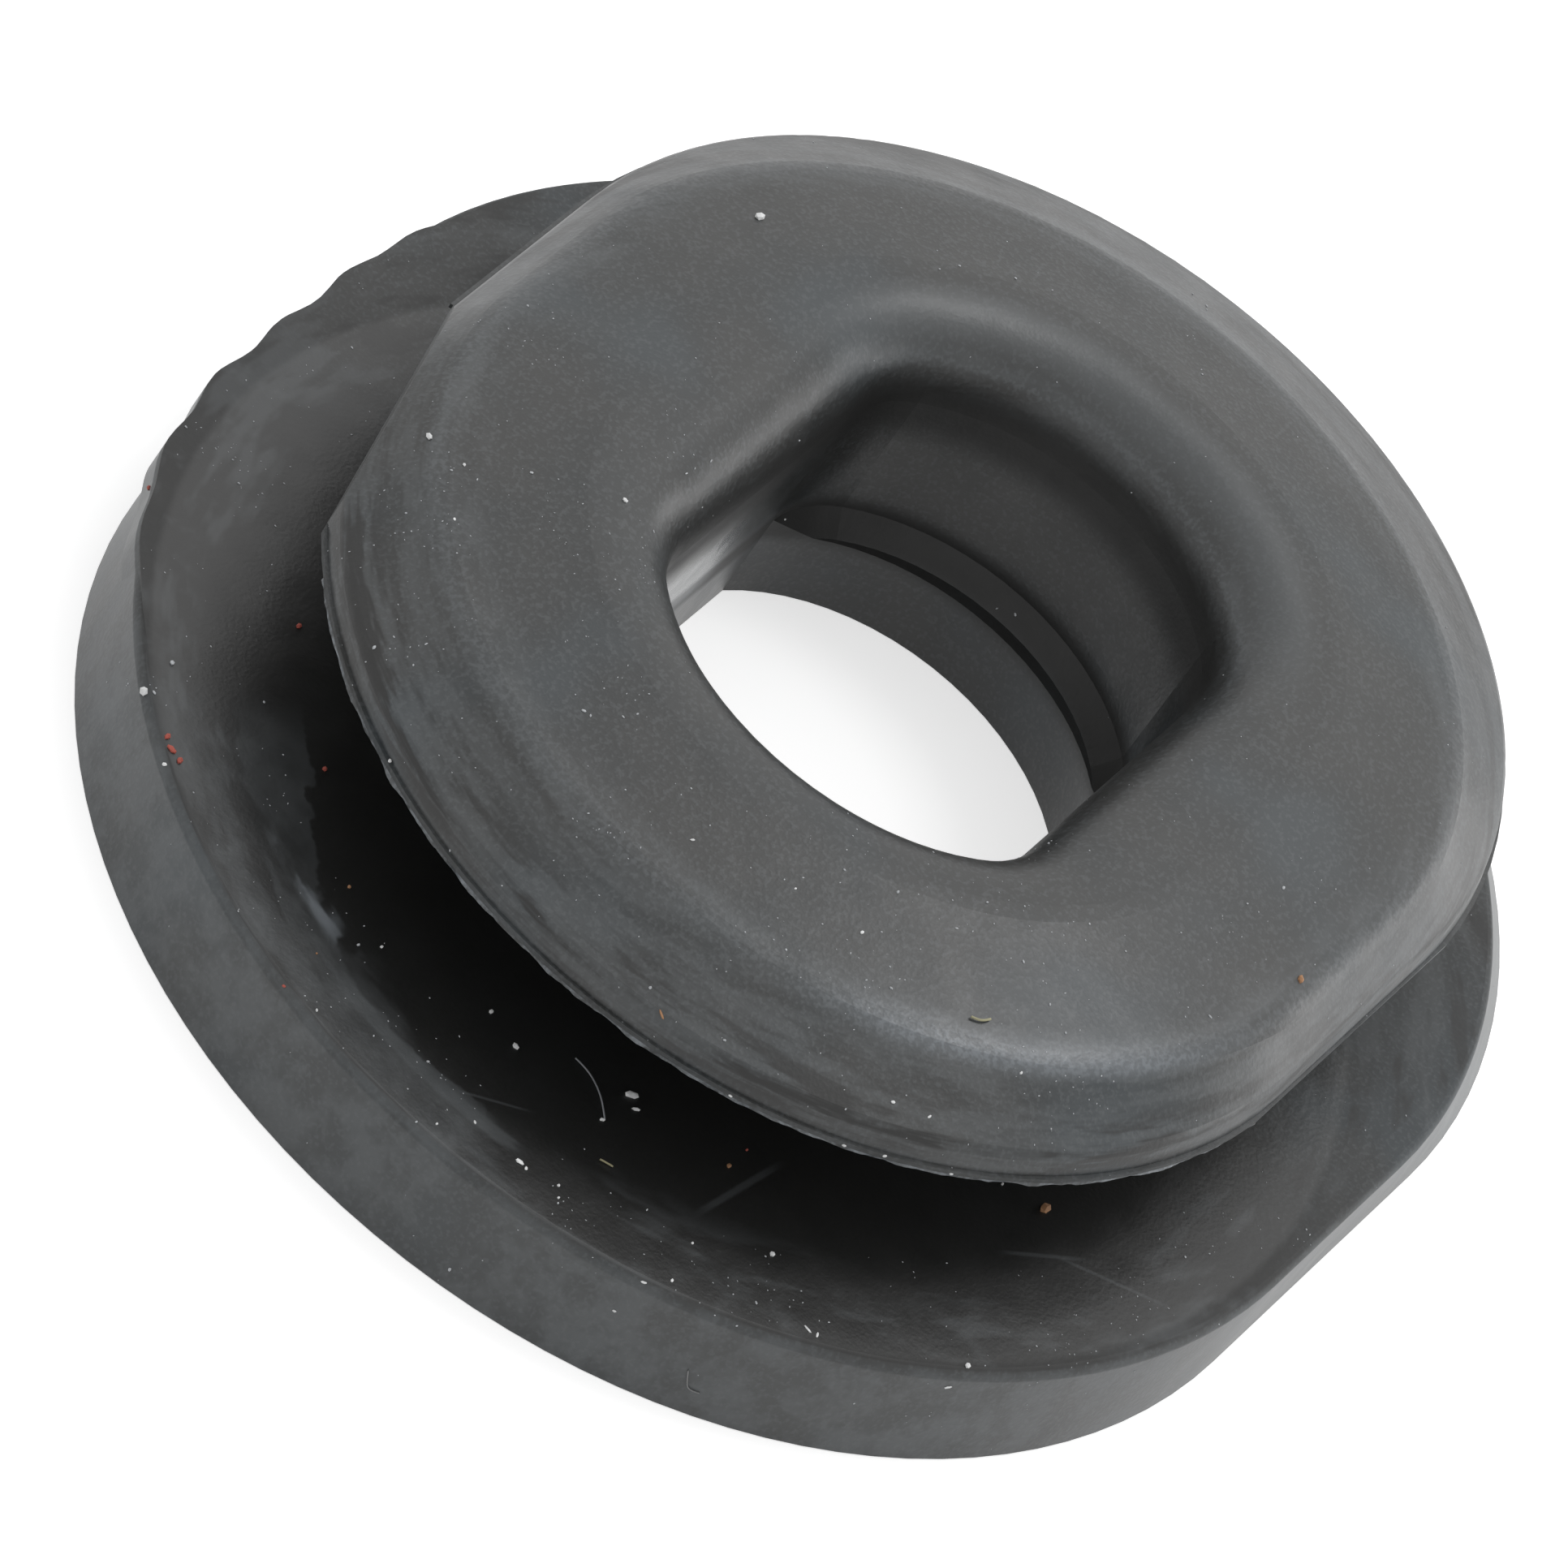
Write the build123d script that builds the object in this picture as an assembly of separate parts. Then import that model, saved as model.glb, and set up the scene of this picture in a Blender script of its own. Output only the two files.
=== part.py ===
from build123d import *
from math import cos, pi, sqrt
import os

# Moulded rubber grommet, one piece, standing on its large flange.
# The bore axis is +Z and the flats of every outline face -Y and +Y.
# Near means the -X end and far means the +X end.

# Large flange, its end walls leaning in towards the groove
rim_radius = 11.5
rim_centre = 3.45
rim_height = 2.1
rim_top_near = 3.15
rim_top_far = 1.0
rim_edge_round = 0.15

# Wavy, worn upper edge on the +Y side of the large flange
wave_swell = 0.17
wave_depth = 0.06
wave_pitch = 2.1
wave_near = -10.2
wave_far = 3.1
wave_band = 0.7
wave_root = 3.0
wave_fade = 4
points_per_wave = 4

# Hub between the flanges
hub_radius = 7.1
hub_centre = 2.3
groove_width = 2.2

# Small flange with a short wall, a wide bevel and a low crown around the bore
lip_radius = 9.56
lip_near = 2.55
lip_far = 2.62
wall_height = 0.5
wall_draft = 0.12
wall_round = 0.25
bevel_height = 0.8
bevel_width = 0.8
bevel_draw = 1.2
shoulder_round = 0.9
crown_height = 0.55
crown_margin = 0.35
crown_round = 1.5

# Fin of moulding flash along the groove edge of the small flange
fin_reach = 0.05
fin_height = 0.09

# Small flange: trimmed -Y flat, and the near +Y corner drawn in
trim_flat = 9.58
draw_start = -1.5
draw_angle = 14.0

# Bore with an inner ledge at its foot
bore_radius = 4.35
bore_centre = 1.4
bore_flat = 3.78
bore_corner = 2.2
mouth_round = 1.45
ledge_height = 1.5
ledge_width = 0.68
ledge_ramp = 0.4

# Cutters run past the faces they cut by this much, and levels this close count as one
overcut = 1.0
closeness = 1e-4


def outline(radius, near, far, flat, level):
    """Closed outline with two round ends and two flats."""
    reach = sqrt(max(radius * radius - flat * flat, 0.0))
    x_near = -near - reach
    x_far = far + reach
    far_apex = (far + radius, 0, level)
    near_apex = (-near - radius, 0, level)
    far_end = Edge.make_three_point_arc((x_far, -flat, level), far_apex, (x_far, flat, level))
    near_end = Edge.make_three_point_arc((x_near, flat, level), near_apex, (x_near, -flat, level))
    plus_flat = Edge.make_line((x_far, flat, level), (x_near, flat, level))
    minus_flat = Edge.make_line((x_near, -flat, level), (x_far, -flat, level))
    return Wire([far_end, plus_flat, near_end, minus_flat])


def prism(radius, near, far, flat, level, height):
    """Upright solid over an outline."""
    return extrude(Face(outline(radius, near, far, flat, level)), height, dir=(0, 0, 1))


def edges_at(shape, level):
    """Edges that lie wholly at one height."""
    found = []
    for edge in shape.edges():
        box = edge.bounding_box()
        if abs(box.min.Z - level) < closeness and abs(box.max.Z - level) < closeness:
            found.append(edge)
    return found


def edges_within(shape, level, half_x, half_y):
    """Edges at one height that stay inside a rectangle."""
    found = []
    for edge in edges_at(shape, level):
        box = edge.bounding_box()
        if max(-box.min.X, box.max.X) < half_x and max(-box.min.Y, box.max.Y) < half_y:
            found.append(edge)
    return found


# Heights of the small flange
lip_level = rim_height + groove_width
wall_level = lip_level + wall_height
shoulder_level = wall_level + bevel_height
crown_level = shoulder_level + crown_height

# Large flange
rim = Solid.make_loft(
    [
        outline(rim_radius, rim_centre, rim_centre, rim_radius, 0),
        outline(rim_radius, rim_top_near, rim_top_far, rim_radius, rim_height),
    ],
    True,
)
rim = rim.fillet(rim_edge_round, edges_at(rim, rim_height))

# Wavy edge: a strip whose outer side follows a cosine and comes out of the rounded edge
wave_steps = points_per_wave * round((wave_far - wave_near) / wave_pitch)
wave_points = []
for i in range(wave_steps + 1):
    share = i / wave_steps
    x = wave_near + share * (wave_far - wave_near)
    lean = -min(x + rim_top_near, 0.0) - min(rim_top_far - x, 0.0)
    y = sqrt(rim_radius * rim_radius - lean * lean)
    proud = rim_edge_round + wave_swell + wave_depth * cos(2 * pi * x / wave_pitch)
    y += proud * (1 - (2 * share - 1) ** wave_fade) - rim_edge_round
    wave_points.append((x, y))
wave_side = Edge.make_spline([Vector(x, y, 0) for x, y in wave_points])
wave_back = rim_radius - wave_root
wave_wire = Wire(
    [
        wave_side,
        Edge.make_line((wave_points[-1][0], wave_points[-1][1], 0), (wave_far, wave_back, 0)),
        Edge.make_line((wave_far, wave_back, 0), (wave_near, wave_back, 0)),
        Edge.make_line((wave_near, wave_back, 0), (wave_points[0][0], wave_points[0][1], 0)),
    ]
)
wave = extrude(Face(wave_wire), wave_band, dir=(0, 0, 1)).moved(Location((0, 0, rim_height - wave_band)))

# Small flange
wall_radius = lip_radius - wall_draft
shoulder_radius = lip_radius - bevel_width
shoulder_centre = lip_near - bevel_draw
crown_radius = bore_radius + mouth_round + crown_margin
cap = Solid.make_loft(
    [
        outline(lip_radius, lip_near, lip_far, lip_radius, lip_level),
        outline(wall_radius, lip_near, lip_far, wall_radius, wall_level),
        outline(shoulder_radius, shoulder_centre, shoulder_centre, shoulder_radius, shoulder_level),
        outline(crown_radius, bore_centre, bore_centre, crown_radius, crown_level),
    ],
    True,
)
cap = cap.fillet(crown_round, edges_at(cap, crown_level))
cap = cap.fillet(shoulder_round, edges_at(cap, shoulder_level))
cap = cap.fillet(wall_round, edges_at(cap, wall_level))
fin_radius = lip_radius + fin_reach
cap += prism(fin_radius, lip_near, lip_far, fin_radius, lip_level, fin_height)
reach = 2 * (lip_radius + lip_far)
trim = Box(2 * reach, reach, reach).moved(Location((0, -trim_flat - reach / 2, crown_level)))
draw = Box(2 * reach, reach, reach).moved(
    Location((draw_start, lip_radius, crown_level), (0, 0, draw_angle)) * Location((-reach, reach / 2, 0))
)
cap = cap - trim - draw

# Body with a square groove for the panel's edge
hub = prism(hub_radius, hub_centre, hub_centre, hub_radius, rim_height, groove_width)
body = rim + wave + hub + cap

# Bore and foot
bore = prism(bore_radius, bore_centre, bore_centre, bore_flat, ledge_height, crown_level)
bore = fillet(bore.edges().filter_by(Axis.Z), bore_corner)
foot_centre = bore_centre - ledge_width
foot = prism(bore_radius, foot_centre, foot_centre, bore_flat, -overcut, ledge_height + 2 * overcut)
body = body - bore - foot
mouth_x = bore_centre + bore_radius + closeness
mouth_y = bore_flat + closeness
body = body.fillet(mouth_round, edges_within(body, crown_level, mouth_x, mouth_y))
ledge_edges = edges_within(body, ledge_height, mouth_x, mouth_y)
wall_foot = [edge for edge in ledge_edges if abs(abs(edge.arc_center.X) - foot_centre) > closeness]
body = body.chamfer(ledge_ramp, ledge_ramp, wall_foot)

os.makedirs("parts", exist_ok=True)
export_step(body, "parts/grommet.step")
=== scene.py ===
"""Black rubber grommet lying on its large flange, in a plain white studio."""
import bmesh
import bpy
import random
from math import atan2, cos, pi, radians, sin
from mathutils import Matrix, Vector, noise
from types import SimpleNamespace


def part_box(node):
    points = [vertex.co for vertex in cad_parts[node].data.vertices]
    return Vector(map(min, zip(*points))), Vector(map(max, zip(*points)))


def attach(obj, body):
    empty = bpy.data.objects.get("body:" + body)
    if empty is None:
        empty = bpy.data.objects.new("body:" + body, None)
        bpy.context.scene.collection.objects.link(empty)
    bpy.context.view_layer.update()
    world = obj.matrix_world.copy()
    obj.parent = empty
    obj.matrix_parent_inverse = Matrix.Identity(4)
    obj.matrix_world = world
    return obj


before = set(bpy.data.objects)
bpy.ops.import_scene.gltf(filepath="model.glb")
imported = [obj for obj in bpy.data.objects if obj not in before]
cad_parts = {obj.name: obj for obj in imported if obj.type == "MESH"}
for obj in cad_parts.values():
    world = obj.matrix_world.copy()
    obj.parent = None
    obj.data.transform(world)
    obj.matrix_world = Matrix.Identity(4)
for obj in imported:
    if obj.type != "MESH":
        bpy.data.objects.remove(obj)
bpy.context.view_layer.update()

MM = 0.001

# Places on the grommet that the finishes follow, in millimetres
GROOVE_FLOOR = 2.1
LIP_LEVEL = 4.3
SHOULDER_LEVEL = 5.6
LIP_CENTRE = -2.55
LIP_RADIUS = 9.61
FLANGE_CENTRE = -3.45
BORE_REACH_X = 5.75
BORE_REACH_Y = 3.78
BORE_ROUND = 3.2


def add_node(tree, kind, **inputs):
    """A shader node with some of its inputs set."""
    node = tree.nodes.new(kind)
    for name, value in inputs.items():
        node.inputs[name.replace("_", " ")].default_value = value
    return node


def plug(tree, value, socket):
    """Give an input socket a plain value or another node's output."""
    if isinstance(value, bpy.types.NodeSocket):
        tree.links.new(value, socket)
    else:
        socket.default_value = value


def calc(tree, operation, *values):
    """One step of arithmetic on numbers or node outputs."""
    node = tree.nodes.new("ShaderNodeMath")
    node.operation = operation
    for value, socket in zip(values, node.inputs):
        plug(tree, value, socket)
    return node.outputs[0]


def rise(tree, value, start, end):
    """Smooth step from 0 at start to 1 at end."""
    node = tree.nodes.new("ShaderNodeMapRange")
    node.interpolation_type = "SMOOTHSTEP"
    plug(tree, value, node.inputs["Value"])
    node.inputs["From Min"].default_value = min(start, end)
    node.inputs["From Max"].default_value = max(start, end)
    node.inputs["To Min"].default_value = 0.0 if start < end else 1.0
    node.inputs["To Max"].default_value = 1.0 if start < end else 0.0
    return node.outputs["Result"]


def band(tree, value, low, high, blur):
    """1 between low and high, fading over blur at each side."""
    up = rise(tree, value, low - blur, low + blur)
    down = rise(tree, value, high + blur, high - blur)
    return calc(tree, "MULTIPLY", up, down)


def product(tree, *values):
    """All masks multiplied together."""
    total = values[0]
    for value in values[1:]:
        total = calc(tree, "MULTIPLY", total, value)
    return total


def scaled(tree, value, gain, base):
    """The value times a gain, plus a base."""
    return calc(tree, "MULTIPLY_ADD", value, gain, base)


def tint(tree, mask, under, over):
    """Colour that goes from under to over where the mask is 1."""
    node = tree.nodes.new("ShaderNodeMix")
    node.data_type = "RGBA"
    plug(tree, mask, node.inputs[0])
    plug(tree, under, node.inputs[6])
    plug(tree, over, node.inputs[7])
    return node.outputs[2]


def grain(tree, place, scale, detail, roughness):
    """Noise value with scale cells a millimetre."""
    node = add_node(tree, "ShaderNodeTexNoise", Scale=scale, Detail=detail, Roughness=roughness)
    tree.links.new(place, node.inputs["Vector"])
    return node.outputs["Fac"]


def new_material(name):
    """An empty node material, its node tree and its output node."""
    material = bpy.data.materials.new(name)
    material.use_nodes = True
    tree = material.node_tree
    tree.nodes.clear()
    return material, tree, tree.nodes.new("ShaderNodeOutputMaterial")


def millimetres(tree):
    """Place on the piece in millimetres, and its x, y and z."""
    spot = tree.nodes.new("ShaderNodeTexCoord")
    mapping = tree.nodes.new("ShaderNodeMapping")
    mapping.inputs["Scale"].default_value = (1 / MM, 1 / MM, 1 / MM)
    tree.links.new(spot.outputs["Object"], mapping.inputs["Vector"])
    split = tree.nodes.new("ShaderNodeSeparateXYZ")
    tree.links.new(mapping.outputs[0], split.inputs[0])
    return mapping.outputs[0], split.outputs[0], split.outputs[1], split.outputs[2]


def polar(tree, x, y, centre):
    """Radius and angle in degrees around a near end's centre, 0 on the -X side and rising towards +Y."""
    away = calc(tree, "SUBTRACT", centre, x)
    squares = calc(tree, "ADD", calc(tree, "POWER", away, 2.0), calc(tree, "POWER", y, 2.0))
    radius = calc(tree, "SQRT", squares)
    angle = calc(tree, "MULTIPLY", calc(tree, "ARCTAN2", y, away), 180 / pi)
    return radius, angle


def from_bore(tree, x, y):
    """Distance outwards from the bore's wall, seen from above."""
    far_x = calc(tree, "SUBTRACT", calc(tree, "ABSOLUTE", x), BORE_REACH_X - BORE_ROUND)
    far_y = calc(tree, "SUBTRACT", calc(tree, "ABSOLUTE", y), BORE_REACH_Y - BORE_ROUND)
    far_x = calc(tree, "POWER", calc(tree, "MAXIMUM", far_x, 0.0), 2.0)
    far_y = calc(tree, "POWER", calc(tree, "MAXIMUM", far_y, 0.0), 2.0)
    return calc(tree, "SUBTRACT", calc(tree, "SQRT", calc(tree, "ADD", far_x, far_y)), BORE_ROUND)


def seen_directly(tree):
    """1 for camera, glossy and transmission rays, 0 for the rest."""
    path = tree.nodes.new("ShaderNodeLightPath")
    seen = path.outputs["Is Camera Ray"]
    for ray in ("Is Glossy Ray", "Is Transmission Ray"):
        seen = calc(tree, "MAXIMUM", seen, path.outputs[ray])
    return seen


# Colours of the rubber, also used for painted shade, painted highlights, painted sheen and a painted glint
CLEAN_BLACK = (0.024, 0.0265, 0.027, 1)
DEEP_BLACK = (0.011, 0.011, 0.0105, 1)
BROWN_BLACK = (0.029, 0.0295, 0.0285, 1)
BLUE_BLACK = (0.032, 0.039, 0.043, 1)
BLOOM_AND_SHEEN_GREY = (0.105, 0.113, 0.118, 1)
SMEAR_AND_GLINT_GREY = (0.200, 0.220, 0.240, 1)

# Noises on the rubber: cells a millimetre, detail and roughness
PORES = (11.0, 1.0, 0.6)
PATCHES = (1.0, 3.0, 0.68)
STREAKS = (1.1, 3.0, 0.72)
CLOUDS = (0.24, 2.0, 0.5)
SWELLS = (1.3, 0.0, 0.6)

# Streaks around the flanges: radius of the circle that their pattern is laid on, and its change with height
ARC_PATTERN = 3.0
ARC_CLIMB = -2.6

# Masks, by start and end or by low side, high side and blur: lengths in millimetres and turns in degrees
IN_GROOVE = (GROOVE_FLOOR - 0.02, LIP_LEVEL - 0.02, 0.02)
OUTSIDE_BORE = (6.2, 7.4)
BORE_EDGE = (0.7, 0.1)
BORE_TOP = (6.0, 5.2)


def arc_streaks(tree, at):
    """Noise drawn out along the arcs of the flanges."""
    between = calc(tree, "SUBTRACT", at.radius, at.cap_radius)
    ring = scaled(tree, at.in_groove, between, at.cap_radius)
    unit = calc(tree, "DIVIDE", ARC_PATTERN, at.cap_radius)
    around = tree.nodes.new("ShaderNodeCombineXYZ")
    plug(tree, calc(tree, "MULTIPLY", calc(tree, "SUBTRACT", at.x, LIP_CENTRE), unit), around.inputs[0])
    plug(tree, calc(tree, "MULTIPLY", at.y, unit), around.inputs[1])
    plug(tree, scaled(tree, at.z, ARC_CLIMB, ring), around.inputs[2])
    return grain(tree, around.outputs[0], *STREAKS)


def survey(tree):
    """What the finishes ask about a spot on the rubber: its place, distances, noises and main masks."""
    at = SimpleNamespace()
    at.place, at.x, at.y, at.z = millimetres(tree)
    at.radius, at.angle = polar(tree, at.x, at.y, FLANGE_CENTRE)
    at.cap_radius, at.cap_angle = polar(tree, at.x, at.y, LIP_CENTRE)
    at.past_bore = from_bore(tree, at.x, at.y)
    at.in_groove = band(tree, at.z, *IN_GROOVE)
    at.in_bore = product(tree, rise(tree, at.past_bore, *BORE_EDGE), rise(tree, at.z, *BORE_TOP))
    at.outside = rise(tree, at.cap_radius, *OUTSIDE_BORE)
    at.pores = grain(tree, at.place, *PORES)
    at.patch = grain(tree, at.place, *PATCHES)
    at.cloud = grain(tree, at.place, *CLOUDS)
    at.swell = grain(tree, at.place, *SWELLS)
    at.streak = arc_streaks(tree, at)
    return at


# Cloudy colour over the whole moulding
CLEAN_CLOUDS = (0.40, 0.60)
BLUE_CLOUDS = (0.54, 0.70)
PALE_PORES = (0.46, 0.72)
PALE_PORE_WEIGHT = 0.30


def cloudy_colour(tree, at):
    """Brownish, clean and bluish black in large soft clouds, with pale pores."""
    colour = tint(tree, rise(tree, at.cloud, *CLEAN_CLOUDS), BROWN_BLACK, CLEAN_BLACK)
    colour = tint(tree, rise(tree, at.cloud, *BLUE_CLOUDS), colour, BLUE_BLACK)
    pale_pores = calc(tree, "MULTIPLY", rise(tree, at.pores, *PALE_PORES), PALE_PORE_WEIGHT)
    return tint(tree, pale_pores, colour, BLOOM_AND_SHEEN_GREY)


# Small flange: bloom on the bevel, darker streaks at its foot, frost and a painted highlight on the
# shoulder, paler where it is rubbed, and painted sheen on the far mouth
BEVEL_LEVELS = (LIP_LEVEL - 0.05, SHOULDER_LEVEL + 0.12, 0.08)
BLOOM_STREAKS = (0.36, 0.68)
BLOOM_WEIGHT = 0.38
FOOT_LEVELS = (4.50, 5.05, 0.18)
FOOT_STREAKS = (0.52, 0.40)
FOOT_WEIGHT = 0.95
SHOULDER_LEVELS = (SHOULDER_LEVEL - 0.13, SHOULDER_LEVEL + 0.03, 0.09)
RUBBED_AND_HIGHLIT_TURN = (-78.0, -30.0, 12.0)
FROST_PORES = (0.38, 0.66)
SHOULDER_FROST_AND_HIGHLIGHT = (0.3, 0.25)
RUBBED_FROST_AND_HIGHLIGHT = (0.3, 0.40)
MOUTH_RING = (0.35, 1.30, 0.35)
MOUTH_FAR = (2.0, 5.0)
MOUTH_LEVELS = (4.9, 5.5)
MOUTH_WEIGHT = 0.5


def rubbed_shoulder(tree, at):
    """Masks of the shoulder, which carries frost and a painted highlight, and of the stretch of it that is
    rubbed, where the painted highlight is brightest.
    """
    shoulder = product(tree, band(tree, at.z, *SHOULDER_LEVELS), at.outside)
    rubbed = product(tree, shoulder, band(tree, at.cap_angle, *RUBBED_AND_HIGHLIT_TURN))
    return shoulder, rubbed


def small_flange_colour(tree, at, colour):
    """Bevel, shoulder and mouth of the small flange."""
    bevel = product(tree, band(tree, at.z, *BEVEL_LEVELS), at.outside)
    bloom = calc(tree, "MULTIPLY", product(tree, bevel, rise(tree, at.streak, *BLOOM_STREAKS)), BLOOM_WEIGHT)
    colour = tint(tree, bloom, colour, BLOOM_AND_SHEEN_GREY)
    foot = product(tree, bevel, band(tree, at.z, *FOOT_LEVELS), rise(tree, at.streak, *FOOT_STREAKS))
    colour = tint(tree, calc(tree, "MULTIPLY", foot, FOOT_WEIGHT), colour, DEEP_BLACK)

    # Frost on the shoulder, partly a painted highlight, paler still on the rubbed stretch where the painted
    # highlight is brightest
    frost = rise(tree, at.pores, *FROST_PORES)
    colour = tint(tree, product(tree, at.shoulder, scaled(tree, frost, *SHOULDER_FROST_AND_HIGHLIGHT)), colour, BLOOM_AND_SHEEN_GREY)
    colour = tint(tree, product(tree, at.rubbed, scaled(tree, frost, *RUBBED_FROST_AND_HIGHLIGHT)), colour, SMEAR_AND_GLINT_GREY)

    # Painted sheen: the far rounding of the bore's mouth made paler
    around_mouth = band(tree, at.past_bore, *MOUTH_RING)
    far_mouth = product(tree, around_mouth, rise(tree, at.x, *MOUTH_FAR), rise(tree, at.z, *MOUTH_LEVELS))
    return tint(tree, calc(tree, "MULTIPLY", far_mouth, MOUTH_WEIGHT), colour, BLOOM_AND_SHEEN_GREY)


# Large flange: patchy bloom on its outer wall, partly a painted reflection of the bright floor, and painted
# shade in the groove on the near side
WALL_LEVELS = (GROOVE_FLOOR + 0.02, GROOVE_FLOOR - 0.10)
WALL_RADII = (10.6, 11.0)
WALL_PATCHES = (0.38, 0.62)
WALL_WEIGHT = (0.38, 0.20)
NEAR_SIDE = (1.0, -4.0)
NEAR_SHADE_WEIGHT = 0.95

# Dark patch and dark slanting streak on the +Y side of the groove
DARK_PATCH_RADII = (9.0, 10.2, 0.2)
DARK_PATCH_TURN = (44.0, 66.0, 4.0)
DARK_STREAK_SLANT = -0.062
DARK_STREAK_RADII = (6.75, 7.00, 0.08)
DARK_STREAK_TURN = (58.0, 74.0, 4.0)
DARK_WEIGHT = 0.8

# Dusty film on the groove's floor, whose inner border moves inwards with the turn, and a pale strip
FILM_LEVELS = (GROOVE_FLOOR - 0.12, GROOVE_FLOOR + 0.05, 0.03)
FILM_TURN = (-6.0, 46.0, 5.0)
FILM_BORDER = {"From Min": 15.0, "From Max": 40.0, "To Min": 9.88, "To Max": 8.4}
FILM_RAGGED = 0.8
FILM_EDGE = (-0.03, 0.06)
FILM_WEIGHT = (0.5, 0.05)
STRIP_RADII = (9.95, 10.25, 0.05)
STRIP_TURN = (-9.0, 14.0, 1.5)
STRIP_WEIGHT = 0.35

# Pale smear, haze towards the edge, and dust swept along the groove
SMEAR_RADII = (9.35, 9.75, 0.12)
SMEAR_TURN = (18.0, 30.0, 3.0)
SMEAR_PATCHES = (0.46, 0.56)
SMEAR_STREAKS = (0.40, 0.54)
SMEAR_WEIGHT = 0.8
HAZE_RADII = (9.4, 11.4)
HAZE_PATCHES = (0.48, 0.75)
HAZE_WEIGHT = 0.40
SWEPT_RADII = (8.8, 10.2)
SWEPT_PALE_STREAKS = (0.50, 0.64)
SWEPT_PALE_WEIGHT = 0.30
SWEPT_DARK_STREAKS = (0.46, 0.36)
SWEPT_DARK_WEIGHT = 0.75

# Light scratches on the groove's floor, each as start, end and half width
SCRATCHES = (
    ((-6.50, -8.80), (-5.70, -10.40), 0.05),
    ((-11.50, -4.25), (-9.60, -4.50), 0.09),
    ((-7.30, -8.10), (-6.20, -9.00), 0.06),
    ((-13.30, -0.20), (-12.60, -1.10), 0.04),
)
SCRATCH_CORE = 0.3
SCRATCH_FADE = 0.2
SCRATCH_WEIGHT = 0.30


def large_flange_colour(tree, at, colour):
    """Outer wall with bloom and painted reflection, painted shade in the near groove, and dark marks of the
    large flange.
    """
    # Patchy bloom on the outer wall, partly a painted reflection of the bright floor
    wall = product(tree, rise(tree, at.z, *WALL_LEVELS), rise(tree, at.radius, *WALL_RADII))
    wall_weight = scaled(tree, rise(tree, at.patch, *WALL_PATCHES), *WALL_WEIGHT)
    colour = tint(tree, product(tree, wall, wall_weight), colour, BLOOM_AND_SHEEN_GREY)
    # Painted shade in the groove on the near side, under the small flange
    colour = tint(tree, at.near_groove, colour, DEEP_BLACK)

    patch = product(tree, band(tree, at.radius, *DARK_PATCH_RADII), band(tree, at.angle, *DARK_PATCH_TURN))
    patch = product(tree, patch, at.in_groove)
    slant = scaled(tree, at.angle, DARK_STREAK_SLANT, at.radius)
    streak = product(tree, band(tree, slant, *DARK_STREAK_RADII), band(tree, at.angle, *DARK_STREAK_TURN))
    streak = product(tree, streak, at.in_groove)
    marks = calc(tree, "MULTIPLY", calc(tree, "MAXIMUM", patch, streak), DARK_WEIGHT)
    return tint(tree, marks, colour, DEEP_BLACK)


def film_colour(tree, at, colour):
    """Dusty film with a sharp inner border at the near left of the groove, and the pale strip beyond it."""
    on_floor = band(tree, at.z, *FILM_LEVELS)
    border = tree.nodes.new("ShaderNodeMapRange")
    plug(tree, at.angle, border.inputs["Value"])
    for name, value in FILM_BORDER.items():
        border.inputs[name].default_value = value
    middle = calc(tree, "SUBTRACT", border.outputs["Result"], FILM_RAGGED / 2)
    edge = scaled(tree, at.patch, FILM_RAGGED, middle)
    past = rise(tree, calc(tree, "SUBTRACT", at.radius, edge), *FILM_EDGE)
    film = product(tree, on_floor, past, band(tree, at.angle, *FILM_TURN))
    colour = tint(tree, product(tree, film, scaled(tree, at.patch, *FILM_WEIGHT)), colour, BLOOM_AND_SHEEN_GREY)
    strip = product(tree, on_floor, band(tree, at.radius, *STRIP_RADII), band(tree, at.angle, *STRIP_TURN))
    return tint(tree, calc(tree, "MULTIPLY", strip, STRIP_WEIGHT), colour, BLOOM_AND_SHEEN_GREY)


def smeared_colour(tree, at, colour):
    """Smear, haze and swept dust in the groove."""
    smear = product(tree, band(tree, at.radius, *SMEAR_RADII), band(tree, at.angle, *SMEAR_TURN))
    smear = product(tree, smear, at.in_groove, rise(tree, at.patch, *SMEAR_PATCHES))
    smear = product(tree, smear, rise(tree, at.streak, *SMEAR_STREAKS))
    colour = tint(tree, calc(tree, "MULTIPLY", smear, SMEAR_WEIGHT), colour, SMEAR_AND_GLINT_GREY)
    haze = product(tree, at.near_groove, rise(tree, at.radius, *HAZE_RADII))
    haze = product(tree, haze, rise(tree, at.patch, *HAZE_PATCHES))
    colour = tint(tree, calc(tree, "MULTIPLY", haze, HAZE_WEIGHT), colour, BLOOM_AND_SHEEN_GREY)
    swept = product(tree, at.in_groove, rise(tree, at.radius, *SWEPT_RADII))
    pale = product(tree, swept, rise(tree, at.streak, *SWEPT_PALE_STREAKS), SWEPT_PALE_WEIGHT)
    colour = tint(tree, pale, colour, BLOOM_AND_SHEEN_GREY)
    dark = product(tree, swept, rise(tree, at.streak, *SWEPT_DARK_STREAKS), SWEPT_DARK_WEIGHT)
    return tint(tree, dark, colour, DEEP_BLACK)


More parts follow.
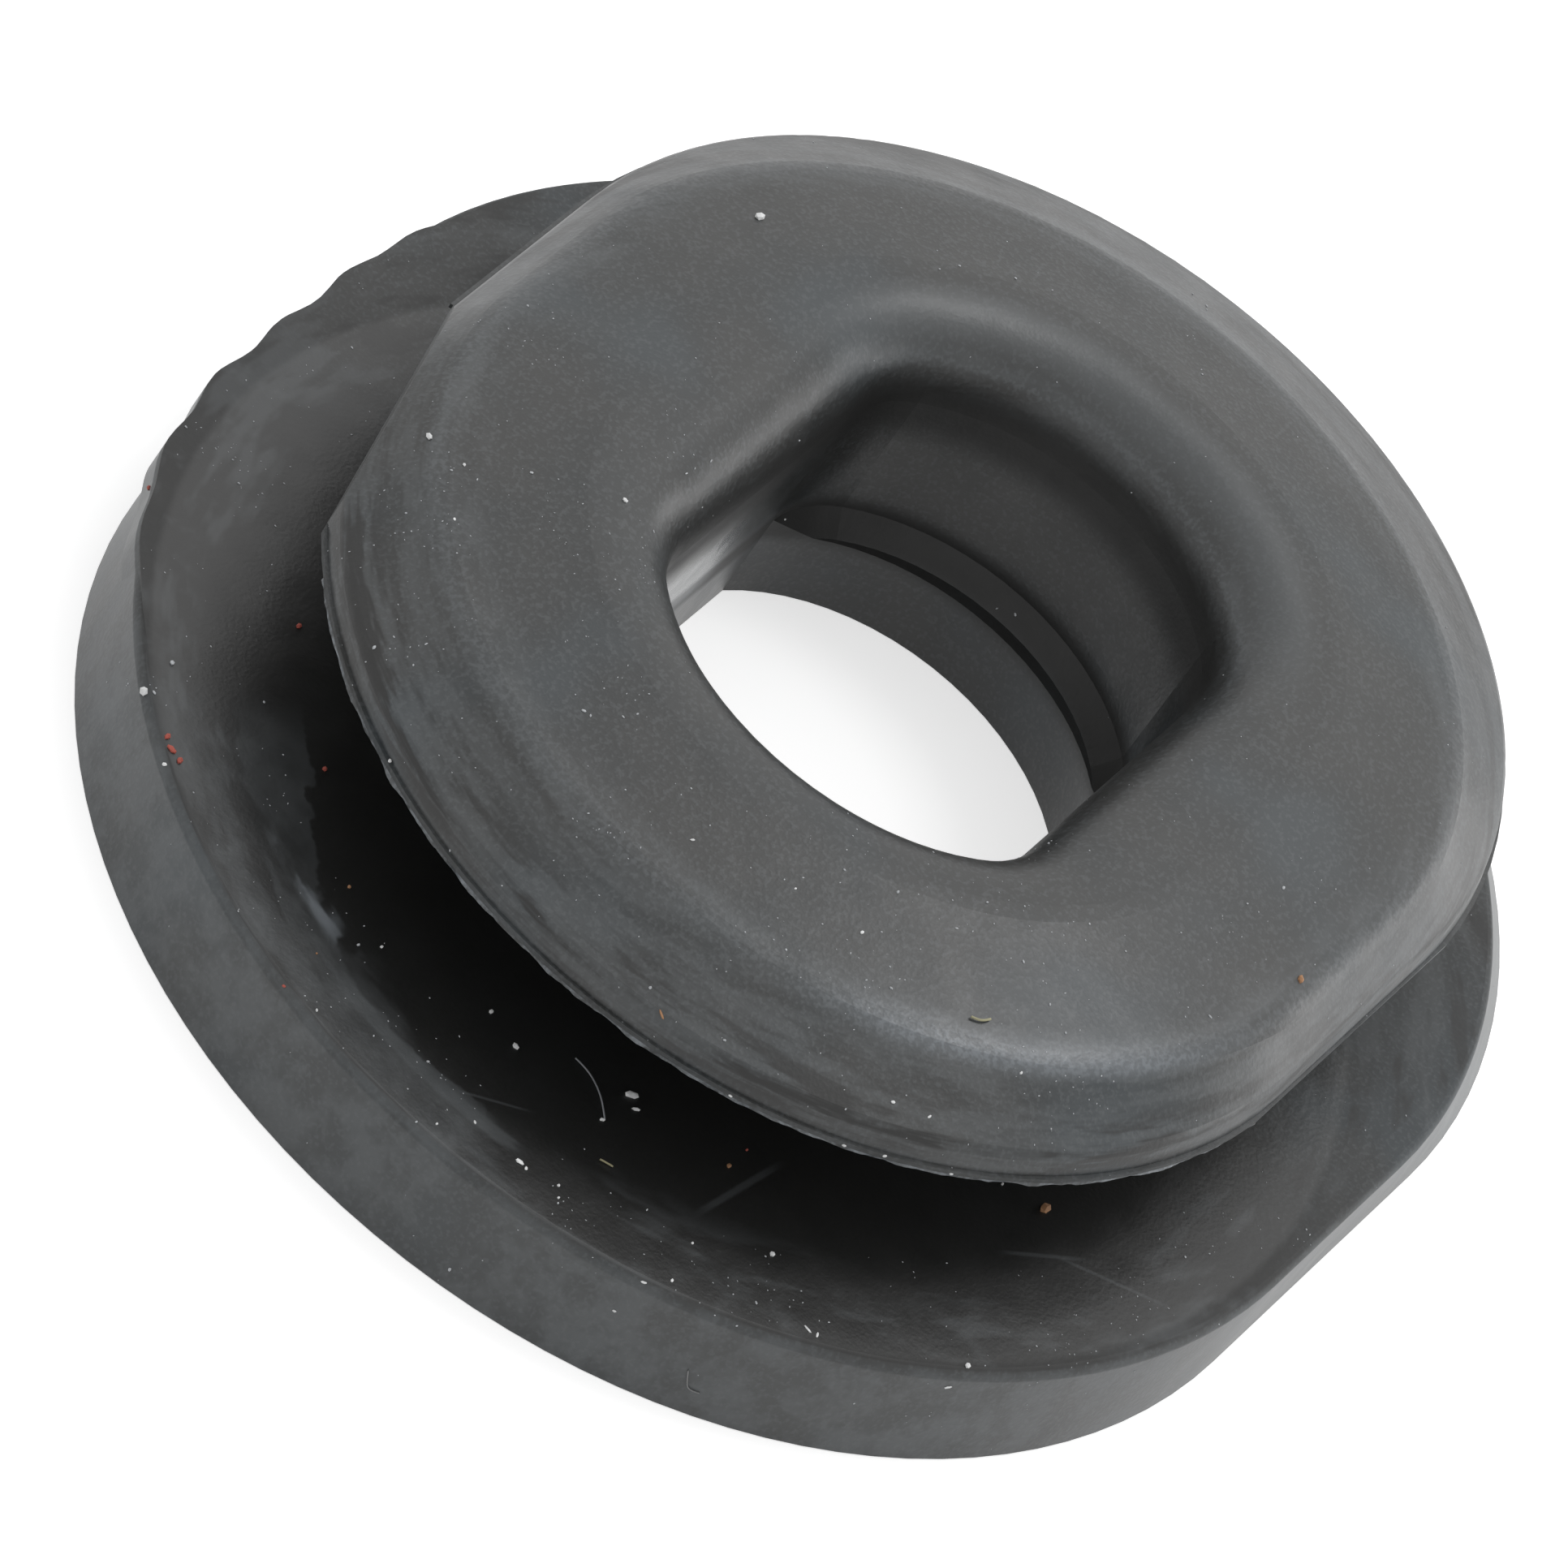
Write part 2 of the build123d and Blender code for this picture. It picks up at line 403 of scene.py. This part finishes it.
def scratch(tree, at, start, end, width):
    """A straight light scratch seen from above, fading at its ends."""
    run = Vector(end) - Vector(start)
    way = run.normalized()
    from_x = calc(tree, "SUBTRACT", at.x, start[0])
    from_y = calc(tree, "SUBTRACT", at.y, start[1])
    along = scaled(tree, from_x, way.x, calc(tree, "MULTIPLY", from_y, way.y))
    aside = scaled(tree, from_x, way.y, calc(tree, "MULTIPLY", from_y, -way.x))
    line = rise(tree, calc(tree, "ABSOLUTE", aside), width, width * SCRATCH_CORE)
    return calc(tree, "MULTIPLY", line, band(tree, along, 0.0, run.length, run.length * SCRATCH_FADE))


# Bore: painted shade under its mouth and above its ledge, and a painted glint, the floor's reflection, on a
# smoother patch low on its +Y wall
UPPER_SHADE_LEVELS = (4.0, 5.2, 0.4)
LOWER_SHADE_LEVELS = (1.4, 2.1, 0.2)
GLINT_WALL = (3.2, 3.6)
GLINT_STRETCH = (-3.0, 0.7, 0.7)
GLINT_LEVELS = (1.5, 3.4, 0.4)
GLINT_WEIGHT = 0.6


def bore_marks(tree, at):
    """Masks of the bore's painted shade rings and of its painted glint."""
    rings = calc(tree, "MAXIMUM", band(tree, at.z, *UPPER_SHADE_LEVELS), band(tree, at.z, *LOWER_SHADE_LEVELS))
    dark_rings = product(tree, at.in_bore, rings)
    low_wall = product(tree, at.in_bore, rise(tree, at.y, *GLINT_WALL))
    glint = product(tree, low_wall, band(tree, at.x, *GLINT_STRETCH), band(tree, at.z, *GLINT_LEVELS))
    return dark_rings, glint


# Gloss: the roughness from patch to patch, and what each region adds to it
RUBBER_IOR = 1.5
PATCH_ROUGHNESS = (0.16, 0.31)
BORE_ROUGHER = -0.05
RING_ROUGHER = 0.20
RUBBED_ROUGHER = -0.10
GLINT_ROUGHER = -0.16
TORN_ROUGHER = 0.30
TORN_LEVELS = (1.90, 2.11, 0.03)
TORN_RADII = (11.0, 11.2)


def rubber_roughness(tree, at):
    """Smoother in the bore, on its glossy patch and on the rubbed shoulder, and duller on the torn edge."""
    torn_edge = product(tree, band(tree, at.z, *TORN_LEVELS), rise(tree, at.radius, *TORN_RADII))
    roughness = scaled(tree, at.patch, *PATCH_ROUGHNESS)
    for mask, rougher in (
        (at.in_bore, BORE_ROUGHER),
        (at.dark_rings, RING_ROUGHER),
        (at.rubbed, RUBBED_ROUGHER),
        (at.glint, GLINT_ROUGHER),
        (torn_edge, TORN_ROUGHER),
    ):
        roughness = scaled(tree, mask, rougher, roughness)
    return roughness


# Relief in millimetres: fine pores of the mould and soft unevenness
PORE_DEPTH = 0.004
SWELL_DEPTH = 0.016


def rubber_relief(tree, at):
    """Bumps from the pores and the soft unevenness."""
    relief = calc(tree, "MULTIPLY", at.pores, PORE_DEPTH)
    relief = scaled(tree, at.swell, SWELL_DEPTH, relief)
    bump = add_node(tree, "ShaderNodeBump", Strength=1.0, Distance=MM)
    tree.links.new(relief, bump.inputs["Height"])
    return bump.outputs[0]


def rubber_material():
    """Moulded black rubber with its bloom, film, smears, scratches and fine grain, and painted shade,
    highlight, sheen and glint.
    """
    material, tree, output = new_material("moulded_rubber")
    at = survey(tree)
    at.shoulder, at.rubbed = rubbed_shoulder(tree, at)
    at.dark_rings, at.glint = bore_marks(tree, at)
    at.near_groove = product(tree, at.in_groove, rise(tree, at.x, *NEAR_SIDE), NEAR_SHADE_WEIGHT)

    colour = cloudy_colour(tree, at)
    colour = small_flange_colour(tree, at, colour)
    colour = large_flange_colour(tree, at, colour)
    colour = film_colour(tree, at, colour)
    colour = smeared_colour(tree, at, colour)
    for start, end, width in SCRATCHES:
        mark = product(tree, scratch(tree, at, start, end, width), at.in_groove, SCRATCH_WEIGHT)
        colour = tint(tree, mark, colour, BLOOM_AND_SHEEN_GREY)
    # Painted shade in the bore, under its mouth and above its ledge
    colour = tint(tree, at.dark_rings, colour, DEEP_BLACK)
    # Painted glint: the floor's reflection low on the bore's +Y wall
    colour = tint(tree, calc(tree, "MULTIPLY", at.glint, GLINT_WEIGHT), colour, SMEAR_AND_GLINT_GREY)

    shader = add_node(tree, "ShaderNodeBsdfPrincipled", IOR=RUBBER_IOR)
    plug(tree, colour, shader.inputs["Base Color"])
    plug(tree, rubber_roughness(tree, at), shader.inputs["Roughness"])
    plug(tree, rubber_relief(tree, at), shader.inputs["Normal"])
    tree.links.new(shader.outputs["BSDF"], output.inputs["Surface"])
    return material


# Dust: dull grains whose shade changes from grain to grain
DUST_SHADES = (1.7, 2.0, 0.6)
DUST_SHADE_RISE = (0.30, 0.70)
DUST_DIM = 0.7
DUST_ROUGHNESS = 0.75

# Moulding flash: thin worn rubber
FLASH_SHADES = (2.6, 4.0, 0.7)
FLASH_WORN = (0.35, 0.70)
FLASH_ROUGHNESS = 0.34


def shaded_material(name, pattern, shades, dark, pale, roughness):
    """Plain finish whose colour goes from dark to pale with a noise."""
    material, tree, output = new_material(name)
    place = millimetres(tree)[0]
    shade = rise(tree, grain(tree, place, *pattern), *shades)
    shader = add_node(tree, "ShaderNodeBsdfPrincipled", Roughness=roughness)
    plug(tree, tint(tree, shade, dark, pale), shader.inputs["Base Color"])
    tree.links.new(shader.outputs["BSDF"], output.inputs["Surface"])
    return material


def dust_material(name, colour):
    """Dull grains, some dimmer than others."""
    dim = tuple(channel * DUST_DIM for channel in colour[:3]) + (1,)
    return shaded_material(name, DUST_SHADES, DUST_SHADE_RISE, dim, colour, DUST_ROUGHNESS)


def flash_material():
    """Thin rubbed rubber, paler than the body."""
    return shaded_material("thin_flash", FLASH_SHADES, FLASH_WORN, CLEAN_BLACK, SMEAR_AND_GLINT_GREY, FLASH_ROUGHNESS)


# Camera, found from the outlines of the two flanges
CAMERA_AIM = Vector((-3.333, 0.0405, 3.0)) * MM
CAMERA_AZIMUTH = radians(-171.548)
CAMERA_ELEVATION = radians(40.171)
CAMERA_ROLL = radians(36.453)
CAMERA_DISTANCE = 275.531 * MM
CAMERA_LENS = 382.862
CAMERA_SENSOR = 36.0
CAMERA_NEAR_CLIP = 0.01
FRAME_PIXELS = 1932


def camera_turn():
    """Place and turn of the camera at the photograph's viewing angle."""
    level = cos(CAMERA_ELEVATION)
    towards = Vector((level * cos(CAMERA_AZIMUTH), level * sin(CAMERA_AZIMUTH), sin(CAMERA_ELEVATION)))
    turn = towards.to_track_quat("Z", "Y").to_matrix().to_4x4()
    roll = Matrix.Rotation(CAMERA_ROLL, 4, "Z")
    return Matrix.Translation(CAMERA_AIM + towards * CAMERA_DISTANCE) @ turn @ roll


def add_camera():
    """The camera."""
    data = bpy.data.cameras.new("camera")
    data.lens = CAMERA_LENS
    data.sensor_width = CAMERA_SENSOR
    data.clip_start = CAMERA_NEAR_CLIP
    camera = bpy.data.objects.new("camera", data)
    bpy.context.scene.collection.objects.link(camera)
    camera.matrix_world = camera_turn()
    bpy.context.scene.camera = camera


# Light: an even surround, and soft lamps by azimuth, elevation, distance, width, height and brightness
WHITE = (1, 1, 1, 1)
PAPER_WHITE = (0.82, 0.82, 0.82, 1)
WORLD_LIGHT = 0.7
FLOOR_GLOW = 0.55
FLOOR_SIZE = 3.0
FLOOR_GAP = 0.02 * MM
SOFTBOXES = {
    "far_softbox": (16, 36, 0.6, 0.7, 0.34, 0.36),
    "side_softbox": (-42, 6, 0.6, 0.5, 0.2, 3.2),
    "top_softbox": (-4, 62, 0.6, 0.5, 0.3, 0.8),
    "key_softbox": (-26, 60, 0.6, 0.15, 0.13, 8.2),
}


def choose(tree, mask, plain, chosen):
    """One shader where the mask is 0 and another where it is 1."""
    node = tree.nodes.new("ShaderNodeMixShader")
    tree.links.new(mask, node.inputs[0])
    tree.links.new(plain, node.inputs[1])
    tree.links.new(chosen, node.inputs[2])
    return node.outputs[0]


def floor_material():
    """White floor that keeps the contact shadow, and is clear from below so that the underside shows."""
    material, tree, output = new_material("white_floor")
    paper = add_node(tree, "ShaderNodeBsdfDiffuse", Color=PAPER_WHITE)
    glow = add_node(tree, "ShaderNodeEmission", Color=WHITE, Strength=FLOOR_GLOW)
    glowing = tree.nodes.new("ShaderNodeAddShader")
    tree.links.new(paper.outputs[0], glowing.inputs[0])
    tree.links.new(glow.outputs[0], glowing.inputs[1])
    side = tree.nodes.new("ShaderNodeNewGeometry")
    clear = tree.nodes.new("ShaderNodeBsdfTransparent")
    above = choose(tree, seen_directly(tree), paper.outputs[0], glowing.outputs[0])
    both_sides = choose(tree, side.outputs["Backfacing"], above, clear.outputs[0])
    tree.links.new(both_sides, output.inputs["Surface"])
    return material


def add_floor():
    """A plain floor just under the large flange."""
    bpy.ops.object.select_all(action="DESELECT")
    bpy.ops.mesh.primitive_plane_add(size=FLOOR_SIZE, location=(0, 0, -FLOOR_GAP))
    floor = bpy.context.object
    floor.name = "studio_floor"
    floor.data.materials.append(floor_material())


def add_world():
    """An even white surround."""
    world = bpy.data.worlds.new("white_surround")
    bpy.context.scene.world = world
    world.use_nodes = True
    tree = world.node_tree
    tree.nodes.clear()
    output = tree.nodes.new("ShaderNodeOutputWorld")
    lit = add_node(tree, "ShaderNodeBackground", Color=WHITE, Strength=WORLD_LIGHT)
    seen = add_node(tree, "ShaderNodeBackground", Color=WHITE, Strength=1.0)
    surround = choose(tree, seen_directly(tree), lit.outputs[0], seen.outputs[0])
    tree.links.new(surround, output.inputs["Surface"])


def add_softbox(name, azimuth, elevation, distance, width, height, brightness):
    """A soft rectangular lamp that faces the part, in degrees and metres; brightness 1 is white."""
    data = bpy.data.lights.new(name, "AREA")
    data.shape = "RECTANGLE"
    data.size = width
    data.size_y = height
    data.energy = brightness * pi * width * height
    lamp = bpy.data.objects.new(name, data)
    bpy.context.scene.collection.objects.link(lamp)
    level = cos(radians(elevation))
    way = Vector((level * cos(radians(azimuth)), level * sin(radians(azimuth)), sin(radians(elevation))))
    turn = way.to_track_quat("Z", "Y").to_matrix().to_4x4()
    lamp.matrix_world = Matrix.Translation(way * distance) @ turn


# Chips that crumbs and dust are made of: a faceted ball one unit across, flattened and made uneven
CHIP_SEEDS = (1, 2, 3, 4)
CHIP_RADIUS = 0.5
CHIP_STRETCH = (1.0, 0.95, 0.70)
CHIP_UNEVEN = 0.10
CHIP_LIFT = 0.16

# Fine dust: lengths, drift size and the place and width of its fade towards the far side, in millimetres
DUST_GREY = (0.54, 0.56, 0.58, 1)
DUST_SEED = 7
DUST_COUNT = 9000
DUST_LENGTH = (0.014, 0.040)
DUST_WIDTH_SHARE = (0.4, 0.8)
DUST_EXTRA_LENGTH = 1.8
DUST_RARITY = 10
DUST_DRIFT = 1.6
DUST_DRIFT_MIDDLE = 0.5
DUST_EDGE = 3.0
DUST_FADE = 9.0
DUST_FAR_SHARE = 0.10

# Crumbs that show one by one: pixels across and down, length and width in millimetres, turn in degrees
CRUMBS = {
    "white_crumbs": (
        (
            (529, 538, 0.17, 0.12, 20), (572, 573, 0.08, 0.06, 0), (770, 617, 0.12, 0.09, 60),
            (936, 268, 0.22, 0.18, 10), (178, 852, 0.20, 0.16, 0), (203, 942, 0.10, 0.07, 40),
            (480, 938, 0.10, 0.07, 15), (470, 1167, 0.08, 0.06, 0), (390, 1245, 0.07, 0.05, 30),
            (605, 1247, 0.11, 0.08, 0), (635, 1290, 0.15, 0.11, 70), (538, 1385, 0.07, 0.05, 0),
            (585, 1383, 0.08, 0.05, 50), (640, 1432, 0.18, 0.09, 95), (648, 1440, 0.10, 0.06, 20),
            (778, 1350, 0.30, 0.15, -48), (783, 1367, 0.16, 0.08, -50), (742, 1380, 0.12, 0.07, -40),
            (688, 1461, 0.08, 0.06, 0), (688, 1476, 0.07, 0.05, 0), (853, 1035, 0.09, 0.05, 45),
            (1062, 1149, 0.09, 0.06, 45), (951, 1546, 0.12, 0.10, 0), (793, 1580, 0.12, 0.05, 10),
            (828, 1578, 0.09, 0.06, 10), (757, 1615, 0.08, 0.05, 0), (853, 1532, 0.07, 0.05, 0),
            (995, 1638, 0.20, 0.05, 80), (1007, 1645, 0.14, 0.05, 20), (1192, 1683, 0.13, 0.10, 0),
            (1168, 1709, 0.16, 0.05, 20), (1040, 1411, 0.09, 0.06, 0), (1090, 1424, 0.08, 0.06, 30),
            (1172, 1446, 0.08, 0.05, 0), (1235, 1459, 0.09, 0.05, 10), (900, 1350, 0.08, 0.05, 0),
            (967, 640, 0.05, 0.04, 0), (980, 1095, 0.06, 0.04, 50), (1100, 1358, 0.09, 0.06, 0),
            (1145, 1376, 0.09, 0.05, 45), (1258, 1322, 0.07, 0.05, 45), (560, 640, 0.07, 0.05, 0),
        ),
        (0.92, 0.93, 0.93, 1),
    ),
    "red_crumbs": (
        (
            (206, 908, 0.16, 0.11, 0), (211, 924, 0.22, 0.12, 80), (221, 938, 0.17, 0.11, 10),
            (368, 772, 0.13, 0.11, 0), (400, 948, 0.12, 0.10, 0), (350, 1215, 0.08, 0.05, 20),
            (577, 1093, 0.10, 0.06, 30), (920, 1417, 0.07, 0.05, 0), (184, 601, 0.12, 0.09, 0),
        ),
        (0.42, 0.09, 0.065, 1),
    ),
    "orange_crumbs": (
        (
            (430, 1093, 0.08, 0.07, 0), (898, 1437, 0.11, 0.09, 0), (1287, 1490, 0.28, 0.18, -10),
            (815, 1250, 0.20, 0.05, -35), (1602, 1207, 0.17, 0.13, 30), (390, 1175, 0.05, 0.04, 0),
        ),
        (0.42, 0.22, 0.11, 1),
    ),
}

# Hairs of lint: the pixels that each lies through, thickness in millimetres and colour
FIBRES = {
    "curved_fibre": (
        ((708, 1305), (722, 1318), (735, 1340), (742, 1362), (744, 1380)),
        0.030,
        (0.30, 0.31, 0.33, 1),
    ),
    "yellow_fibre": (
        ((1195, 1254), (1203, 1258), (1212, 1259), (1219, 1257)),
        0.045,
        (0.40, 0.38, 0.24, 1),
    ),
    "short_fibre": (
        ((738, 1430), (746, 1434), (754, 1439)),
        0.035,
        (0.36, 0.33, 0.20, 1),
    ),
    "hooked_fibre": (
        ((848, 1688), (846, 1702), (848, 1712), (862, 1716)),
        0.022,
        (0.26, 0.26, 0.26, 1),
    ),
}
FIBRE_ROUNDNESS = 1
FIBRE_STEPS = 8


def seat(across, down):
    """Point and outward direction on the grommet at a pixel of the picture."""
    place = camera_turn()
    reach = CAMERA_LENS / CAMERA_SENSOR * FRAME_PIXELS
    half = FRAME_PIXELS / 2
    way = (place.to_3x3() @ Vector((across - half, half - down, -reach))).normalized()
    hit, point, normal, _ = grommet.ray_cast(place.translation, way)
    return (point, normal) if hit else (None, None)


def finish_piece(piece, name, material):
    """Name a new piece, give it its finish and let it ride with the grommet."""
    piece.name = name
    piece.data.name = name
    piece.data.materials.clear()
    piece.data.materials.append(material)
    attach(piece, "root")


def chip_mesh(seed):
    """Mesh of one irregular chip about one unit long, with a few faces."""
    bpy.ops.object.select_all(action="DESELECT")
    bpy.ops.mesh.primitive_ico_sphere_add(subdivisions=1, radius=CHIP_RADIUS)
    chip = bpy.context.object
    bpy.ops.object.mode_set(mode="EDIT")
    bpy.ops.mesh.select_all(action="SELECT")
    bpy.ops.transform.resize(value=CHIP_STRETCH)
    bpy.ops.transform.vertex_random(offset=CHIP_UNEVEN, seed=seed)
    bpy.ops.mesh.normals_make_consistent(inside=False)
    bpy.ops.object.mode_set(mode="OBJECT")
    mesh = chip.data
    bpy.data.objects.remove(chip)
    return mesh


def lay_chip(heap, mesh, point, normal, length, width, turn):
    """Add a copy of a chip to the heap, lying on the surface."""
    chip = mesh.copy()
    stand = normal.to_track_quat("Z", "Y").to_matrix().to_4x4()
    size = Matrix.Diagonal((length, width, min(length, width), 1.0))
    spin = Matrix.Rotation(turn, 4, "Z")
    chip.transform(Matrix.Translation(point + normal * width * CHIP_LIFT) @ stand @ spin @ size)
    heap.from_mesh(chip)
    bpy.data.meshes.remove(chip)


def settle_heap(heap, name, colour):
    """Turn a heap of chips of one colour into one piece."""
    mesh = bpy.data.meshes.new(name)
    heap.to_mesh(mesh)
    heap.free()
    piece = bpy.data.objects.new(name, mesh)
    bpy.context.scene.collection.objects.link(piece)
    finish_piece(piece, name, dust_material(name, colour))


def add_crumbs(shapes):
    """The crumbs that show one by one, each seated where it is seen."""
    for name, (crumbs, colour) in CRUMBS.items():
        heap = bmesh.new()
        for number, (across, down, length, width, turn) in enumerate(crumbs):
            point, normal = seat(across, down)
            if point is not None:
                shape = shapes[number % len(shapes)]
                lay_chip(heap, shape, point, normal, length * MM, width * MM, radians(turn))
        settle_heap(heap, name, colour)


def add_fine_dust(shapes):
    """Fine pale dust in drifts over what faces up, thickest on the near side."""
    draw = random.Random(DUST_SEED)
    low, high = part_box("grommet")
    heap = bmesh.new()
    for _ in range(DUST_COUNT):
        x = draw.uniform(low[0], high[0])
        y = draw.uniform(low[1], high[1])
        nearness = max(0.0, min(1.0, (DUST_EDGE * MM - x) / (DUST_FADE * MM)))
        length = draw.uniform(*DUST_LENGTH) * (1 + DUST_EXTRA_LENGTH * draw.random() ** DUST_RARITY) * MM
        width = length * draw.uniform(*DUST_WIDTH_SHARE)
        turn = draw.uniform(0, pi)
        shape = draw.choice(shapes)
        drift = DUST_DRIFT_MIDDLE + noise.noise(Vector((x, y, 0)) / (DUST_DRIFT * MM))
        chance = (DUST_FAR_SHARE + (1 - DUST_FAR_SHARE) * nearness) * drift ** 2
        kept = draw.random() < chance
        hit, point, normal, _ = grommet.ray_cast(Vector((x, y, high[2] + MM)), Vector((0, 0, -1)))
        if hit and kept:
            lay_chip(heap, shape, point, normal, length, width, turn)
    settle_heap(heap, "fine_dust", DUST_GREY)


def add_fibre(name, pixels, thickness, colour):
    """A hair of lint that lies on the surface through the given pixels."""
    bpy.ops.object.select_all(action="DESELECT")
    points = []
    for across, down in pixels:
        point, normal = seat(across, down)
        points.append(point + normal * thickness * MM)
    bpy.ops.curve.primitive_nurbs_path_add()
    fibre = bpy.context.object
    curve = fibre.data
    curve.splines.clear()
    spline = curve.splines.new("NURBS")
    spline.points.add(len(points) - 1)
    for knot, point in zip(spline.points, points):
        knot.co = (*point, 1.0)
    spline.order_u = 3
    spline.use_endpoint_u = True
    curve.bevel_depth = thickness * MM / 2
    curve.bevel_resolution = FIBRE_ROUNDNESS
    curve.resolution_u = FIBRE_STEPS
    curve.use_fill_caps = True
    fibre.location = (0, 0, 0)
    bpy.ops.object.convert(target="MESH")
    finish_piece(bpy.context.object, name, dust_material(name, colour))


# Moulding flash on the lip, in millimetres and degrees from the -X side
FLASH_POINTS = 1440
FLASH_START = -86.0
FLASH_END = 50.0
FLASH_ROOT = 0.04
FLASH_TOP = 4.36
FLASH_DROP = 0.11
FLASH_THICKNESS = 0.03

# How the flash strays: direction, size of the pattern, reach, and the pattern's value that stays in place
FLASH_WAVES = (
    ("outward", "NORMAL", 0.60, 0.11, 0.40),
    ("downward", "Z", 0.40, 0.11, 0.60),
)
FLASH_PATTERN_DEPTH = 3


def ragged(name, scale):
    """Cloud pattern that makes an edge uneven."""
    pattern = bpy.data.textures.new(name, "CLOUDS")
    pattern.noise_scale = scale * MM
    pattern.noise_depth = FLASH_PATTERN_DEPTH
    return pattern


def flash_strip():
    """Thin upright strip along the near edge of the lip, before it is made ragged."""
    bpy.ops.object.select_all(action="DESELECT")
    root = (LIP_RADIUS - FLASH_ROOT) * MM
    centre = (LIP_CENTRE * MM, 0, FLASH_TOP * MM)
    bpy.ops.mesh.primitive_circle_add(vertices=FLASH_POINTS, radius=root, location=centre)
    strip = bpy.context.object
    bpy.ops.object.transform_apply(location=True)
    bpy.ops.object.mode_set(mode="EDIT")
    bpy.ops.mesh.select_mode(type="VERT")
    bpy.ops.mesh.select_all(action="DESELECT")
    bpy.ops.object.mode_set(mode="OBJECT")
    for vertex in strip.data.vertices:
        turn = atan2(vertex.co.y, LIP_CENTRE * MM - vertex.co.x) * 180 / pi
        vertex.select = not FLASH_START < turn < FLASH_END
    bpy.ops.object.mode_set(mode="EDIT")
    bpy.ops.mesh.delete(type="VERT")
    bpy.ops.mesh.select_all(action="SELECT")
    bpy.ops.mesh.extrude_edges_move(TRANSFORM_OT_translate={"value": (0, 0, -FLASH_DROP * MM)})
    bpy.ops.object.mode_set(mode="OBJECT")
    first = strip.data.polygons[0]
    if first.normal.dot(first.center - Vector((LIP_CENTRE * MM, 0, first.center.z))) < 0:
        strip.data.flip_normals()
    return strip


def add_lip_flash():
    """Ragged skirt of moulding flash along the near edge of the lip."""
    flash = flash_strip()
    middle = (FLASH_TOP - FLASH_DROP / 2) * MM
    loose = flash.vertex_groups.new(name="loose_edge")
    loose.add([vertex.index for vertex in flash.data.vertices if vertex.co.z < middle], 1.0, "REPLACE")
    for name, way, scale, reach, level in FLASH_WAVES:
        wave = flash.modifiers.new(name, "DISPLACE")
        wave.texture = ragged(name, scale)
        wave.texture_coords = "LOCAL"
        wave.direction = way
        wave.vertex_group = "loose_edge"
        wave.strength = reach * MM
        wave.mid_level = level
    skin = flash.modifiers.new("thickness", "SOLIDIFY")
    skin.thickness = FLASH_THICKNESS * MM
    skin.offset = 0.0
    for modifier in list(flash.modifiers):
        bpy.ops.object.modifier_apply(modifier=modifier.name)
    finish_piece(flash, "lip_flash", flash_material())


bpy.ops.object.select_all(action="DESELECT")
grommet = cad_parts["grommet"]
if not grommet.material_slots:
    grommet.data.materials.append(None)
grommet.material_slots[0].material = rubber_material()
bpy.context.view_layer.update()

add_camera()
add_lip_flash()
chip_shapes = [chip_mesh(seed) for seed in CHIP_SEEDS]
add_crumbs(chip_shapes)
add_fine_dust(chip_shapes)
for name, (pixels, thickness, colour) in FIBRES.items():
    add_fibre(name, pixels, thickness, colour)
add_floor()
add_world()
for name, setting in SOFTBOXES.items():
    add_softbox(name, *setting)

bpy.context.scene.view_settings.view_transform = "Standard"
bpy.context.view_layer.update()
